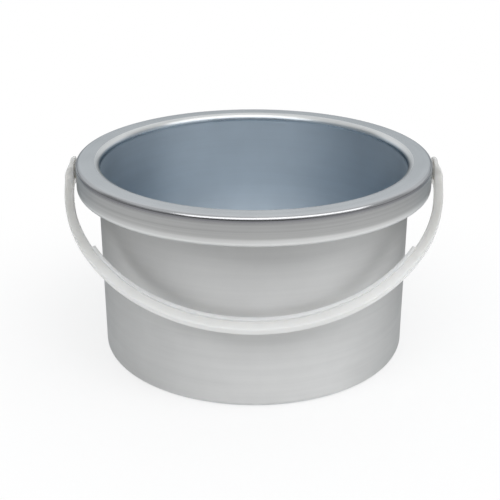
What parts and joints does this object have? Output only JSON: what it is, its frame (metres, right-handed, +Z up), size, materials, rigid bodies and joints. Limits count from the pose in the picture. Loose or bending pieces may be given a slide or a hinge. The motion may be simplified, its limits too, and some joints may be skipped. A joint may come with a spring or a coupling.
{
  "type": "wax warmer pot",
  "caption": "Removable drawn aluminium inner pot for a wax warmer, with a flat rim, turned-down collar and a swinging translucent plastic bail.",
  "frame": {"origin": "centre of the pot's base, on the surface it stands on", "axes": "+Z up along the pot's axis; X along the bail's hinge; at rest the bail hangs towards -Y"},
  "size_m": [0.1342, 0.125, 0.07],
  "materials": {
    "aluminium": "satin, drawn, faint turned lines",
    "natural_plastic": "satin, milky translucent"
  },
  "bodies": {
    "pot": {"pot": "aluminium"},
    "bail": {"bail_handle": "natural_plastic"}
  },
  "joints": [
    {"name": "bail_swing", "type": "hinge", "parent": "pot", "child": "bail", "pos_m": [0, 0, 0.0642], "axis": [-1, 0, 0], "range_deg": [0, 238.42]}
  ]
}
